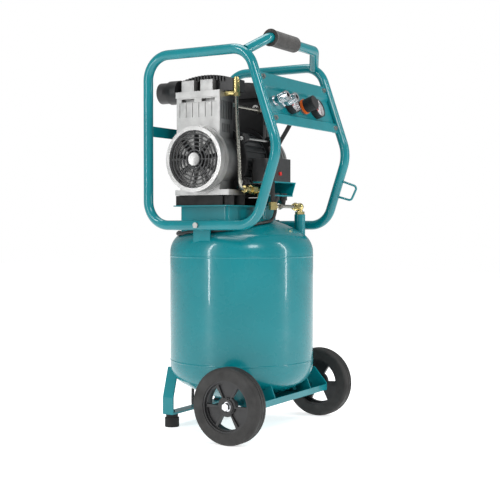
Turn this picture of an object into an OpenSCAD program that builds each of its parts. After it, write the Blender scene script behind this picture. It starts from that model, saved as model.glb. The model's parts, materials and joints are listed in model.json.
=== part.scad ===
// Upright wheeled air compressor: 50 litre tank, twin-cylinder oil-free pump, tube frame.
// Lengths in mm. +Z is up, the control panel faces -Y, the wheel axle runs along X.
// The origin is on the floor, in the middle of the machine's own box.

/* [Tank] */
// Outside diameter of the tank
tank_d = 380; // [340:1:420]
// Thickness of the tank wall
tank_wall = 3; // [2:0.5:5]
// Height of the lower weld seam
seam_low_z = 179; // [170:1:200]
// Height of the upper weld seam
seam_high_z = 453; // [400:1:520]
// Straight flange of each pressed head
head_flange = 10; // [5:1:20]
// Crown radius of each pressed head
crown_r = 304; // [290:1:340]
// Knuckle radius of each pressed head
knuckle_r = 58; // [45:1:65]

/* [Frame] */
// Diameter of the frame tube
tube_d = 25; // [20:0.5:28]
// Wall of the frame tube
tube_wall = 2; // [1:0.5:4]
// Distance of each side loop from the middle
loop_x = 193; // [190:1:220]
// Height of a loop's bottom run above the upper seam
loop_rise = 81; // [78:1:120]
// Height of a side loop
loop_h = 434; // [430:1:520]
// Rear run of a side loop, behind the tank's axis
loop_rear_y = 165; // [150:1:190]
// Front end of a loop's top run
brow_y = -133; // [-150:1:-120]
// Knee of the front of a loop
knee_y = -217; // [-235:1:-200]
// Height of the knee above the loop's bottom run
knee_h = 190; // [170:1:210]
// Front end of a loop's bottom run
toe_y = -154; // [-165:1:-140]
// Bend radius of a loop's corners
corner_bend = 62; // [50:1:75]
// Bend radius of the knee
knee_bend = 100; // [60:1:140]
// Height of the flat cross bar
cross_bar_h = 27; // [15:1:40]

/* [Handle] */
// Half the width of the handle's straight top
handle_half = 122; // [95:1:130]
// Reach of the handle's top in front of its feet
handle_reach = 38; // [20:1:60]
// Rise of the handle's top above its feet
handle_rise = 43; // [35:1:80]
// Bend radius of the handle
handle_bend = 28; // [20:1:40]
// Diameter of the foam grip
grip_d = 41; // [36:0.5:50]

/* [Panel] */
// Thickness of the control panel sheet
panel_t = 2.5; // [1.5:0.5:4]
// Height of the control panel along its slope
panel_h = 134; // [120:1:150]
// Depth of the panel's recessed middle
panel_dish = 6; // [2:0.5:8]
// Diameter of a pressure gauge
gauge_d = 50; // [44:1:54]
// Diameter of the regulator knob
knob_d = 36; // [28:1:38]
// Length of the regulator knob
knob_l = 28; // [25:1:42]
// Diameter of a quick coupling's sleeve
coupling_d = 25; // [22:0.5:28]
// Bore of a quick coupling
coupling_bore = 10.6; // [8:0.1:12]

/* [Wheels] */
// Diameter of a wheel
wheel_d = 190; // [170:1:200]
// Width of a tyre
tyre_w = 40; // [30:1:44]
// Diameter of a wheel rim
rim_d = 129; // [115:1:135]
// Distance of each wheel's middle plane from the middle
wheel_x = 240; // [238:1:260]
// Distance of the axle in front of the tank's axis
axle_y = -109; // [-120:1:-95]
// Diameter of the axle bolts
axle_d = 12; // [10:0.5:16]

/* [Feet] */
// Height of the rubber feet
foot_h = 34; // [25:1:45]
// Distance of each rear foot from the middle
foot_x = 110; // [95:1:120]
// Distance of the rear feet behind the tank's axis
foot_y = 150; // [140:1:155]
// Width of the foot strap
strap_w = 32; // [25:1:40]

/* [Pump] */
// Height of the pump shaft above the platform
shaft_h = 117; // [110:1:130]
// Distance of the pump shaft behind the tank's axis
shaft_y = 42; // [36:1:48]
// Half the length of the motor between its crankcases
motor_half = 60; // [50:1:61]
// Diameter of the motor casing
motor_d = 172; // [160:1:176]
// Depth of a crankcase
case_l = 83; // [78:1:84]
// Outside diameter of a fan shroud
shroud_d = 168; // [156:1:176]
// Bore of a cylinder
cylinder_d = 50; // [42:1:54]
// Throw of a crank
throw = 4; // [2:0.5:5]
// Diameter of the rotor shaft
shaft_d = 20; // [16:0.5:24]

/* [Cord] */
// Diameter of the mains lead
cord_d = 8.4; // [6:0.2:9]

/* [Hidden] */
$fn = 64;

teal = [0.06, 0.50, 0.53];
cast = [0.82, 0.82, 0.80];
steel = [0.72, 0.73, 0.74];
chrome = [0.85, 0.86, 0.88];
brass = [0.80, 0.68, 0.36];
black = [0.10, 0.10, 0.11];
dark = [0.24, 0.25, 0.26];
copper = [0.72, 0.42, 0.22];

weld = 0.4;                      // lap of a tube's straight on its bend
eps = 0.5;                       // overlap of pieces joined into one solid
run_fit = 0.05;                  // radial clearance of a running fit
gap = 0.4;                       // clearance between pieces that move apart

tank_r = tank_d / 2;
tube_r = tube_d / 2;
head_h = crown_r - sqrt(pow(crown_r - knuckle_r, 2) - pow(tank_r - knuckle_r, 2));
head_base_z = seam_high_z + head_flange;
dome_top_z = head_base_z + head_h;
sump_z = seam_low_z - head_flange;
sump_low_z = sump_z - head_h;

loop_low_z = seam_high_z + loop_rise;
loop_top_z = loop_low_z + loop_h;
knee_z = loop_low_z + knee_h;
tilt = atan2(brow_y - knee_y, loop_top_z - knee_z);   // lean of the panel from vertical
loop_pts = [[loop_rear_y, loop_low_z], [loop_rear_y, loop_top_z], [brow_y, loop_top_z],
    [knee_y, knee_z], [toe_y, loop_low_z]];
loop_bends = [corner_bend, corner_bend, corner_bend, knee_bend, corner_bend];
lug_y = 10;
lug_t = 4;
lug_x = loop_x - tube_r - lug_t - 0.3;
bar_z = loop_low_z + 243;
bar_t = 4;

handle_foot_y = brow_y + 17;
handle_foot_z = loop_top_z - 10;
handle_lean = atan2(handle_reach, handle_rise);
handle_in = 14;                  // weld gap of the handle from the loop's own centre
handle_leg = norm([handle_reach, handle_rise]);

panel_low = 62;                  // lower edge of the panel, up the slope from the knee
panel_w = 2 * (loop_x - tube_r - 2.5);
panel_back = 0.5;                // back face of the panel's rim, from the tubes' plane
control_s = 121;                 // height of the controls up the slope
fold_low = 88;
fold_high = 161;
coupling_xs = [-143, -97];
gauge_xs = [-57, 82];
knob_x = 12;
bolt_x = loop_x - 28;
bolt_ss = [75, 184];
gauge_proud = 18;
panel_face = panel_back + panel_t;
dish_face = panel_face - panel_dish;
manifold_w = 24;
manifold_off = dish_face - panel_t - 2 - manifold_w / 2;
sleeve_l = 27;
sleeve_travel = 3;
coupling_l = 46;
nut_t = 8;
coupling_r = coupling_d / 2 - 3;
stem_r = 6;
ring_low = 3;                    // underside of the orange ring, from the tubes' plane
knob_low = 9.5;

wheel_r = wheel_d / 2;
rim_r = rim_d / 2;
hub_r = 16;
hub_half = 16;
ear_x = loop_x - 5;
ear_t = 5;
bracket_low_z = 82;
bracket_t = 4;
bracket_front_y = axle_y - 51;
axle_r = axle_d / 2;

platform_z = dome_top_z + 26;
platform_t = 3;
platform_x = 145;
platform_front_y = shaft_y - 90;
platform_rear_y = shaft_y + 82;
skirt_x = 128;

pump_x = 3;
shaft_z = platform_z + shaft_h;
case_x = motor_half + case_l;    // outer face of a crankcase from the motor's middle
shroud_l = 30;
shroud_r = shroud_d / 2;
bell_r = motor_d / 2 + 10;
rod_x = motor_half + 50;
neck_half = 66;
neck_mid = 5;
neck_top = 98;
head_top = 160;
plate_top = 176;
cover_top = 220;
liner_r = cylinder_d / 2 + 3;
mount_low = platform_z - shaft_z;
sole_low = -91;
ear_pcr = 104;
fan_x = case_x + 6;
journal_r = shaft_d / 2 + throw + 2;
tie_d = 6;

box_x = 5;
box_y = -88;
box_w = 90;
box_dep = 70;
box_low_z = platform_z + 62;
box_h = 60;
bracket_z = box_low_z - 35;
gland_xs = [-8, 34];
gland_y = -108;
gland_low_z = bracket_z - 24;
switch_x = 25;
reset_x = -14;
relief_x = 52;
elbow_low = 160;                 // underside of the elbow's nut, above the shaft
outlet_x = 100;
outlet_y = -122;
outlet_z = platform_z - 2;
tee_x = -48;
pipe_r = 4.5;
valve_x = -90;
valve_y = -62;
valve_z = platform_z + 41;
inlet_x = -8;
elbow_x = -112;
elbow_y = shaft_y - 94;
elbow_run = neck_mid - neck_half - 1 + shaft_y - elbow_y;

hook_y = -248;
hook_d = 6;
hook_bend = 9;
hook_top_z = loop_low_z + 123;
hook_low_z = loop_low_z + 80;
hook_lean = tan(atan2(knee_y - toe_y, knee_z - loop_low_z));
hook_pts = [[toe_y + (hook_top_z - loop_low_z) * hook_lean - tube_r, hook_top_z - 5],
    [hook_y, hook_top_z - 19], [hook_y + 18, hook_low_z - 13],
    [toe_y + (hook_low_z - loop_low_z) * hook_lean - tube_r, hook_low_z - 3]];
hook_in = (hook_pts[1] - hook_pts[0]) / norm(hook_pts[1] - hook_pts[0]);
hook_out = (hook_pts[2] - hook_pts[1]) / norm(hook_pts[2] - hook_pts[1]);
hook_turn = acos(hook_in * hook_out);
hook_heart = hook_pts[1] + (hook_out - hook_in) / norm(hook_out - hook_in) * hook_bend / cos(hook_turn / 2);
y_front = hook_heart.x - hook_bend - hook_d / 2;
y_mid = (y_front + tank_r) / 2;  // middle of the machine, from the tank's axis

// Mains lead: from the gland over the tank's shoulder, down its back and to the coil.
cord_r = cord_d / 2;
cord_route = [[-8, -108, 588.4], [-8, -108, 581], [-10.9, -108, 566.5], [-19.1, -107.9, 554.1],
    [-31.5, -107.3, 545.9], [-46, -105.5, 543], [-68, -99.5, 540.1], [-91, -91, 536.5],
    [-113, -81, 531.5], [-130.5, -69.5, 526.9], [-144, -53, 523.8], [-155, -29, 521.3],
    [-161, -2, 519.3], [-160, 32, 518], [-152, 64, 516.9], [-143, 92, 513.4],
    [-130, 114.5, 510.8], [-110, 131, 512.6], [-84, 145, 515.2], [-52, 160, 514.7],
    [-20, 176.5, 506.5], [4, 188, 494.5], [24, 195, 477], [42, 200, 448], [54, 200, 400],
    [60, 199, 320], [64, 199, 200], [66, 200, 100], [66.3, 201, 70], [67, 202, 46],
    [70, 203.5, 29.1], [78.7, 205, 16.1], [91.7, 206.3, 7.4], [107, 206.5, 4.4],
    [124, 204.4, 4.4], [140, 198.8, 4.4], [156, 191.3, 4.4], [172, 184.1, 4.4],
    [188, 179.3, 4.4]];
coil_x = 200;
coil_y = 130;
coil_r = 44;
coil_turns_w = 17;
coil_h = 17;
plug_r = 17;
hose_route = [[-48, -122, 593.4], [-48, -122, 615], [-51, -123, 655], [-54, -128, 700],
    [-52, -142, 740], [-46, -160, 773], [-41, -170.5, 796], [-40, -167.2, 809.5], [-40, -163.5, 820.9]];
pipe_route = [[-112, -52, 862.4], [-112, -52, 845], [-112, -54, 800], [-113, -58, 740],
    [-116, -63, 690], [-118, -65, 660], [-114, -64, 640], [-104, -62.5, 628.4], [-90, -62, 626.4]];

// ---------------------------------------------------------------- shared shapes

// Moves a piece from the tank's axis to the machine's own origin.
module seat() { translate([0, -y_mid, 0]) children(); }

// Cylinder along X from x0 to x1.
module rod_x(x0, x1, r) { translate([x0, 0, 0]) rotate([0, 90, 0]) cylinder(h = x1 - x0, r = r); }

// Cylinder along Y from y0 to y1.
module rod_y(y0, y1, r) { translate([0, y1, 0]) rotate([90, 0, 0]) cylinder(h = y1 - y0, r = r); }

// Ring along X.
module ring_x(x0, x1, r_out, r_in) {
    difference() {
        rod_x(x0, x1, r_out);
        rod_x(x0 - 1, x1 + 1, r_in);
    }
}

// Hexagon nut or bolt head along Z.
module hex(h, across) { cylinder(h = h, r = across / 2 / cos(30), $fn = 6); }

module rounded_square(size, r) {
    square([size.x - 2 * r, size.y], center = true);
    square([size.x, size.y - 2 * r], center = true);
    for (sx = [-1, 1], sy = [-1, 1])
        translate([sx * (size.x / 2 - r), sy * (size.y / 2 - r)]) circle(r);
}

module rounded_box(size, r) {
    linear_extrude(size.z) rounded_square([size.x, size.y], r);
}

// Puts a piece on both sides, mirrored.
module both_sides() { for (s = [0, 1]) mirror([s, 0, 0]) children(); }

// Section of a tube, hollow unless wall is 0. A bend's section is a hair thinner (inset).
module tube_section(r, wall, inset) {
    difference() {
        circle(r - inset);
        if (wall > 0) circle(r - wall + inset);
    }
}

function unit(v) = v / norm(v);
function turn(a, b, c) = let (u = unit(b - a), w = unit(c - b)) acos(min(1, u * w));
function cross2(a, b) = a.x * b.y - a.y * b.x;

// Tube bent in the XY plane along points, with one bend radius for each point.
module bent_tube(pts, bends, r, wall, closed) {
    n = len(pts);
    first = closed ? 0 : 1;
    last = closed ? n - 1 : n - 2;
    function at(i) = pts[(i + n) % n];
    function is_end(i) = !closed && (i == 0 || i == n - 1);
    function cut(i) = is_end(i) ? 0
        : bends[(i + n) % n] * tan(turn(at(i - 1), at(i), at(i + 1)) / 2);
    for (i = [0:closed ? n - 1 : n - 2]) {
        a = at(i);
        b = at(i + 1);
        d = unit(b - a);
        lap_a = is_end(i) ? 0 : weld;
        lap_b = is_end((i + 1) % n) ? 0 : weld;
        l = norm(b - a) - cut(i) - cut((i + 1) % n) + lap_a + lap_b;
        s = a + d * (cut(i) - lap_a);
        translate([s.x, s.y, 0]) rotate([0, 0, atan2(d.y, d.x)]) rotate([0, 90, 0])
            linear_extrude(l) tube_section(r, wall, 0);
    }
    for (i = [first:last]) {
        u = unit(at(i) - at(i - 1));
        w = unit(at(i + 1) - at(i));
        side = cross2(u, w) > 0 ? 1 : -1;
        phi = turn(at(i - 1), at(i), at(i + 1));
        s = at(i) - u * cut(i);
        c = s + side * bends[i] * [-u.y, u.x];
        from = atan2((s - c).y, (s - c).x);
        start = side > 0 ? from : from - phi;
        translate([c.x, c.y, 0]) rotate([0, 0, start]) rotate_extrude(angle = phi)
            translate([bends[i], 0]) tube_section(r, wall, 0.05);
    }
}

// Smooth curve through route points (Catmull-Rom), steps segments to each span.
function spline(p, i, t) =
    let (a = p[max(i - 1, 0)], b = p[i], c = p[i + 1], d = p[min(i + 2, len(p) - 1)])
    0.5 * (2 * b + (c - a) * t + (2 * a - 5 * b + 4 * c - d) * t * t
        + (3 * b - a - 3 * c + d) * t * t * t);
function smooth(p, steps) = concat(
    [for (i = [0:len(p) - 2], k = [0:steps - 1]) spline(p, i, k / steps)], [p[len(p) - 1]]);
function tangent(p, i) = unit(p[min(i + 1, len(p) - 1)] - p[max(i - 1, 0)]);
function square_to(v, t) = unit(v - t * (v * t));

// Round-section tube swept through points as one polyhedron.
module swept_tube(p, r, sides) {
    n = len(p);
    start = square_to(abs(tangent(p, 0).z) > 0.8 ? [1, 0, 0] : [0, 0, 1], tangent(p, 0));
    normals = [for (i = 0, v = start; i < n; i = i + 1, v = square_to(v, tangent(p, min(i, n - 1)))) v];
    points = [for (i = [0:n - 1], k = [0:sides - 1])
        let (t = tangent(p, i), v = normals[i], w = cross(t, v), a = 360 * k / sides)
        p[i] + r * (cos(a) * v + sin(a) * w)];
    walls = [for (i = [0:n - 2], k = [0:sides - 1])
        let (m = (k + 1) % sides)
        [i * sides + k, (i + 1) * sides + k, (i + 1) * sides + m, i * sides + m]];
    caps = [[for (k = [0:sides - 1]) k], [for (k = [sides - 1:-1:0]) (n - 1) * sides + k]];
    polyhedron(points, concat(walls, caps), convexity = 8);
}

// ---------------------------------------------------------------- tank

// Half outline of a pressed head whose flange plane is at height 0.
module dish_half(r, crown, knuckle) {
    h = crown - sqrt(pow(crown - knuckle, 2) - pow(r - knuckle, 2));
    a = asin((r - knuckle) / (crown - knuckle)) + 0.5;
    reach = crown * 1.2;
    intersection() {
        union() {
            intersection() {
                translate([0, h - crown]) circle(crown, $fn = 128);
                translate([0, h - crown]) polygon([[0, 0], [0, reach], [reach * sin(a), reach * cos(a)]]);
            }
            translate([r - knuckle, 0]) circle(knuckle);
        }
        translate([0, -eps]) square([r, h + 1 + eps]);
    }
    polygon([[0, -eps], [r, -eps], [r, 0], [0, eps]]);
}

module dome_solid(grow) {
    rotate_extrude($fn = 128) {
        dish_half(tank_r + grow, crown_r + grow, knuckle_r + grow);
    }
}

module head_body(inset) {
    rotate_extrude($fn = 128) {
        dish_half(tank_r - inset, crown_r - inset, knuckle_r - inset);
        translate([0, -head_flange - (inset > 0 ? 1 : 0)])
            square([tank_r - inset, head_flange + (inset > 0 ? 1 : 0)]);
    }
}

module tank_shell() {
    color(teal) seat() translate([0, 0, seam_low_z]) difference() {
        cylinder(h = seam_high_z - seam_low_z, r = tank_r, $fn = 128);
        translate([0, 0, -1])
            cylinder(h = seam_high_z - seam_low_z + 2, r = tank_r - tank_wall, $fn = 128);
    }
}

// Pressed heads with their threaded sockets and the lugs for the side loops.
module tank_heads() {
    lug_low = 8;
    color(teal) seat() {
        translate([0, 0, head_base_z]) difference() {
            union() {
                head_body(0);
                translate([outlet_x, outlet_y, 0]) cylinder(h = 100, r = 14.5);
                translate([inlet_x, valve_y, 0]) cylinder(h = head_h + 14, r = 14.5);
                both_sides() translate([lug_x, lug_y - 25, lug_low])
                    cube([lug_t, 50, loop_low_z - head_base_z + 15 - lug_low]);
            }
            head_body(tank_wall);
            for (p = [[outlet_x, outlet_y], [inlet_x, valve_y]])
                translate([p.x, p.y, 0]) cylinder(h = head_h + 20, r = 8);
            both_sides() translate([0, lug_y, loop_low_z - head_base_z])
                rod_x(lug_x - 1, lug_x + lug_t + 1, 4.2);
        }
        translate([0, 0, sump_z]) mirror([0, 0, 1]) difference() {
            union() {
                head_body(0);
                cylinder(h = head_h + 10, r = 14.5);
            }
            head_body(tank_wall);
            cylinder(h = head_h + 20, r = 8);
        }
    }
}

// Sheet steel table welded on the top head, under the pump.
module pump_platform() {
    depth = platform_rear_y - platform_front_y;
    mid_y = (platform_rear_y + platform_front_y) / 2;
    color(teal) seat() difference() {
        union() {
            translate([0, mid_y, platform_z - platform_t])
                rounded_box([2 * platform_x, depth, platform_t], 8);
            translate([0, mid_y, head_base_z + 30]) difference() {
                rounded_box([2 * skirt_x, depth - 24, platform_z - platform_t - head_base_z - 30 + eps], 10);
                translate([0, 0, -1]) rounded_box([2 * skirt_x - 6, depth - 30, 200], 7);
            }
        }
        translate([0, 0, head_base_z]) dome_solid(0);
    }
}

// ---------------------------------------------------------------- frame

// Closed tube loop with two tabs for the panel.
module frame_loop(s) {
    tab_t = 4;
    tab_w = loop_x - tube_r + 1.5 - bolt_x + 12;
    color(teal) seat() difference() {
        union() {
            translate([s * loop_x, 0, 0]) rotate([90, 0, 90])
                bent_tube(loop_pts, loop_bends, tube_r, tube_wall, true);
            for (k = bolt_ss) on_panel(0, k, panel_back - tab_t) mirror([s < 0 ? 1 : 0, 0, 0])
                translate([bolt_x - 12, -12, 0]) cube([tab_w, 24, tab_t]);
        }
        translate([s * loop_x, lug_y, loop_low_z]) rod_x(-tube_d, tube_d, 4.2);
        for (k = bolt_ss) on_panel(s * bolt_x, k, panel_back - tab_t - 1) cylinder(h = tab_t + 2, r = 3.1);
    }
}

module left_frame_loop() { frame_loop(-1); }

module right_frame_loop() { frame_loop(1); }

// Bolts between the loops and the tank's lugs, and the panel's screws.
module frame_bolts() {
    color(chrome) seat() {
        both_sides() translate([0, lug_y, loop_low_z]) {
            rod_x(lug_x - 8, loop_x + tube_r + 1, 4);
            translate([loop_x + tube_r, 0, 0]) rotate([0, 90, 0]) cylinder(h = 5, r = 7);
            translate([lug_x - 6.5, 0, 0]) rotate([0, 90, 0]) hex(6.5, 13);
        }
        for (s = [-1, 1], k = bolt_ss) on_panel(s * bolt_x, k, panel_face) {
            cylinder(h = 1.2, r = 7);
            translate([0, 0, 1.2 - eps / 2]) hex(4.5, 10);
            translate([0, 0, -14]) cylinder(h = 14 + eps, r = 3);
            translate([0, 0, -panel_t - 8.5]) hex(4.5, 10);
        }
    }
}

// Flat bar between the rear runs of the loops.
module rear_cross_bar() {
    bar_half = loop_x - tube_r + 2;
    color(teal) seat() difference() {
        translate([-bar_half, loop_rear_y - bar_t / 2, bar_z - cross_bar_h / 2])
            cube([2 * bar_half, bar_t, cross_bar_h]);
        both_sides() translate([loop_x, loop_rear_y, bar_z - cross_bar_h])
            cylinder(h = 2 * cross_bar_h, r = tube_r);
    }
}

// The handle lies in a plane that leans forward; local X is across, local Y up the lean.
module in_handle_plane() {
    translate([0, handle_foot_y, handle_foot_z]) rotate([90 + handle_lean, 0, 0]) children();
}

handle_dir = unit([loop_x - handle_half, handle_leg]);
handle_pts = [[-loop_x, 0] + handle_in * handle_dir, [-handle_half, handle_leg],
    [handle_half, handle_leg], [loop_x - handle_in * handle_dir.x, handle_in * handle_dir.y]];
handle_bends = [0, handle_bend, handle_bend, 0];

module handle_tube() {
    color(teal) seat() in_handle_plane() bent_tube(handle_pts, handle_bends, tube_r, tube_wall, false);
}

// Foam sleeve, pushed over to the left bend as on a used machine.
grip_low_x = -handle_half + 4;    // flared end of the grip, at the bend
grip_end_x = 6;

module handle_grip() {
    flare = 13;
    color(black) seat() in_handle_plane() translate([0, handle_leg, 0]) difference() {
        union() {
            rod_x(grip_low_x, grip_end_x, grip_d / 2);
            translate([grip_low_x, 0, 0]) rotate([0, 90, 0])
                cylinder(h = flare, r1 = grip_d / 2 + 1.5, r2 = grip_d / 2 - 0.5);
        }
        rod_x(grip_low_x - 1, grip_end_x + 1, tube_r + 0.1);
        translate([grip_low_x - 1, 0, 0]) rotate([0, 90, 0])
            cylinder(h = flare + 1, r1 = tube_r + 1.8, r2 = tube_r);
    }
}

// ---------------------------------------------------------------- panel

// Local Z is the panel's outward normal, local Y runs up the slope from the knee.
module on_panel(x, s, off) {
    translate([x, knee_y, knee_z]) rotate([90 - tilt, 0, 0]) translate([0, s, off]) children();
}

module control_panel() {
    joggle = panel_dish;
    rim = panel_face;
    floor_off = dish_face;
    outline = [[panel_low, rim - panel_t], [panel_low, rim], [fold_low, rim],
        [fold_low + joggle, floor_off], [fold_high - joggle, floor_off], [fold_high, rim],
        [panel_low + panel_h, rim], [panel_low + panel_h, rim - panel_t],
        [fold_high + 1, rim - panel_t], [fold_high - joggle + 1, floor_off - panel_t],
        [fold_low + joggle - 1, floor_off - panel_t], [fold_low - 1, rim - panel_t]];
    color(teal) seat() difference() {
        on_panel(-panel_w / 2, 0, 0) rotate([90, 0, 90]) linear_extrude(panel_w) polygon(outline);
        for (x = coupling_xs) on_panel(x, control_s, dish_face - 10) cylinder(h = 20, r = 8.5);
        for (x = gauge_xs) on_panel(x, control_s, dish_face - 10) cylinder(h = 20, r = 7);
        on_panel(knob_x, control_s, dish_face - 10) cylinder(h = 20, r = 12.5);
        for (s = [-1, 1], k = bolt_ss) on_panel(s * bolt_x, k, -20) cylinder(h = 40, r = 3.1);
    }
}

// Wire bail on the right loop, for hanging up the lead.
module cable_hook() {
    color(teal) seat() translate([loop_x, 0, 0]) rotate([90, 0, 90])
        bent_tube(hook_pts, [0, hook_bend, hook_bend, 0], hook_d / 2, 0, false);
}

// Brass bar behind the panel that feeds the couplings, gauges and regulator.
module air_manifold() {
    x0 = coupling_xs[0] - 16;
    x1 = gauge_xs[1] + 14;
    color(cast) seat() {
        difference() {
            on_panel(0, control_s, manifold_off) translate([x0, -manifold_w / 2, -manifold_w / 2])
                cube([x1 - x0, manifold_w, manifold_w]);
            on_panel(0, control_s, manifold_off) rod_x(x0 + 8, x1 - 8, 5);
            for (x = coupling_xs) on_panel(x, control_s, manifold_off) cylinder(h = 40, r = 5.3);
            for (x = gauge_xs) on_panel(x, control_s, manifold_off) cylinder(h = 40, r = 3);
        }
        difference() {
            on_panel(knob_x, control_s, manifold_off - manifold_w / 2 - 34) cylinder(h = 34, r = 19);
            on_panel(knob_x, control_s, manifold_off - manifold_w / 2 - 30) cylinder(h = 26, r = 15);
        }
        on_panel(knob_x, control_s, 0) {
            translate([0, 0, manifold_off + manifold_w / 2 - eps])
                cylinder(h = ring_low - manifold_off - manifold_w / 2 + eps, r = 12);
            translate([0, 0, dish_face]) cylinder(h = ring_low - dish_face, r = 17);
            cylinder(h = knob_low + knob_l - 10, r = stem_r);
        }
    }
}

module regulator_ring() {
    color("darkorange") seat() on_panel(knob_x, control_s, ring_low) difference() {
        cylinder(h = knob_low - gap - ring_low, r = knob_d / 2 + 2);
        translate([0, 0, -1]) cylinder(h = 20, r = stem_r + 0.5);
        for (a = [0:20:340]) rotate([0, 0, a]) translate([knob_d / 2 + 2.6, 0, -1]) cylinder(h = 20, r = 1.6);
    }
}

module regulator_knob() {
    color(black) seat() on_panel(knob_x, control_s, knob_low) difference() {
        cylinder(h = knob_l, r = knob_d / 2);
        for (a = [0:15:345]) rotate([0, 0, a]) translate([knob_d / 2 + 0.6, 0, 4])
            cylinder(h = knob_l, r = 1.6);
        translate([0, 0, -1]) cylinder(h = knob_l - 8, r = stem_r + run_fit);
    }
}

module gauges() {
    color(black) seat() for (x = gauge_xs) {
        difference() {
            on_panel(x, control_s, dish_face) cylinder(h = gauge_proud, r = gauge_d / 2);
            on_panel(x, control_s, dish_face + 9) cylinder(h = 20, r = gauge_d / 2 - 2.5);
            on_panel(x, control_s, dish_face + gauge_proud - 3) cylinder(h = 20, r = gauge_d / 2 - 1.6);
        }
        on_panel(x, control_s, manifold_off + manifold_w / 2)
            cylinder(h = dish_face - manifold_off - manifold_w / 2 + eps, r = 6.5);
        on_panel(x, control_s, dish_face + 9 - eps) cylinder(h = 3 + eps, r = 1.5);
    }
}

module gauge_lenses() {
    color([0.8, 0.9, 0.95, 0.4]) seat() for (x = gauge_xs)
        on_panel(x, control_s, dish_face + gauge_proud - 3) cylinder(h = 2, r = gauge_d / 2 - 1.7);
}

module needle(x) {
    z0 = dish_face + 9 + gap;
    tip = gauge_d / 2 - 7;
    color("crimson") seat() difference() {
        on_panel(x, control_s, z0) rotate([0, 0, 225]) union() {
            cylinder(h = 1.2, r = 3.5);
            linear_extrude(1.2) polygon([[-7, -1.4], [-7, 1.4], [tip, 0.4], [tip, -0.4]]);
        }
        on_panel(x, control_s, z0 - 2) cylinder(h = 6, r = 1.5 + run_fit);
    }
}

module left_needle() { needle(gauge_xs[0]); }

module right_needle() { needle(gauge_xs[1]); }

// Female quick couplings, screwed through the panel.
module couplings() {
    color(chrome) seat() for (x = coupling_xs) on_panel(x, control_s, dish_face) difference() {
        union() {
            translate([0, 0, manifold_off + manifold_w / 2 - dish_face])
                cylinder(h = -manifold_off - manifold_w / 2 + dish_face + nut_t, r = 8.4);
            rotate([0, 0, 15]) hex(nut_t, 26);
            cylinder(h = coupling_l, r = coupling_r);
            translate([0, 0, coupling_l - 2.5]) cylinder(h = 2.5, r = coupling_r + 1.2);
        }
        translate([0, 0, coupling_l - 26]) cylinder(h = 30, r = coupling_bore / 2);
        translate([0, 0, -20]) cylinder(h = 60, r = 4);
    }
}

module coupling_sleeve(x) {
    z0 = dish_face + coupling_l - 3 - sleeve_l;
    color(chrome) seat() on_panel(x, control_s, z0) difference() {
        cylinder(h = sleeve_l, r = coupling_d / 2);
        translate([0, 0, -1]) cylinder(h = sleeve_l + 2, r = coupling_r + run_fit);
        for (k = [8:4:20]) translate([0, 0, k]) rotate_extrude()
            translate([coupling_d / 2 + 0.4, 0]) circle(1.2, $fn = 16);
    }
}

module left_coupling_sleeve() { coupling_sleeve(coupling_xs[0]); }

module right_coupling_sleeve() { coupling_sleeve(coupling_xs[1]); }

// ---------------------------------------------------------------- wheels and feet

module at_wheel(s) {
    translate([s * wheel_x, axle_y, wheel_r]) mirror([s < 0 ? 1 : 0, 0, 0]) children();
}

module tyre(s) {
    shoulder = 9;
    color(black) seat() at_wheel(s) rotate([0, 90, 0]) rotate_extrude($fn = 96) difference() {
        union() {
            translate([rim_r, -tyre_w / 2]) square([wheel_r - shoulder - rim_r, tyre_w]);
            translate([rim_r, -tyre_w / 2 + shoulder]) square([wheel_r - rim_r, tyre_w - 2 * shoulder]);
            for (v = [-1, 1]) translate([wheel_r - shoulder, v * (tyre_w / 2 - shoulder)]) circle(shoulder);
        }
        for (v = [-5, 5]) translate([wheel_r - 3, v - 1]) square([4, 2]);
    }
}

module left_tyre() { tyre(-1); }

module right_tyre() { tyre(1); }

module sector(r_in, r_out, from, to) {
    far = r_out * 2;
    intersection() {
        difference() {
            circle(r_out);
            circle(r_in);
        }
        polygon([[0, 0], far * [cos(from), sin(from)], far * [cos((from + to) / 2), sin((from + to) / 2)],
            far * [cos(to), sin(to)]]);
    }
}

// Moulded rim with three openings between three dished sectors.
module rim(s) {
    color(dark) seat() at_wheel(s) rotate([90, 0, 90]) difference() {
        union() {
            translate([0, 0, -tyre_w / 2 + 2]) difference() {
                cylinder(h = tyre_w - 4, r = rim_r);
                translate([0, 0, -1]) cylinder(h = tyre_w, r = rim_r - 4);
            }
            translate([0, 0, 2]) cylinder(h = 10, r = rim_r - 3);
            translate([0, 0, -hub_half]) cylinder(h = 2 * hub_half - 4, r = hub_r);
            translate([0, 0, 2]) cylinder(h = 13, r = hub_r + 3);
        }
        for (a = [30, 150, 270]) translate([0, 0, -1])
            linear_extrude(20) sector(hub_r + 9, rim_r - 8, a - 27, a + 27);
        for (a = [90, 210, 330]) translate([0, 0, 7])
            linear_extrude(20) sector(hub_r + 6, rim_r - 8, a - 25, a + 25);
        translate([0, 0, 8]) cylinder(h = 10, r = 13);
        translate([0, 0, -30]) cylinder(h = 60, r = axle_r + run_fit);
    }
}

module left_rim() { rim(-1); }

module right_rim() { rim(1); }

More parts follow.
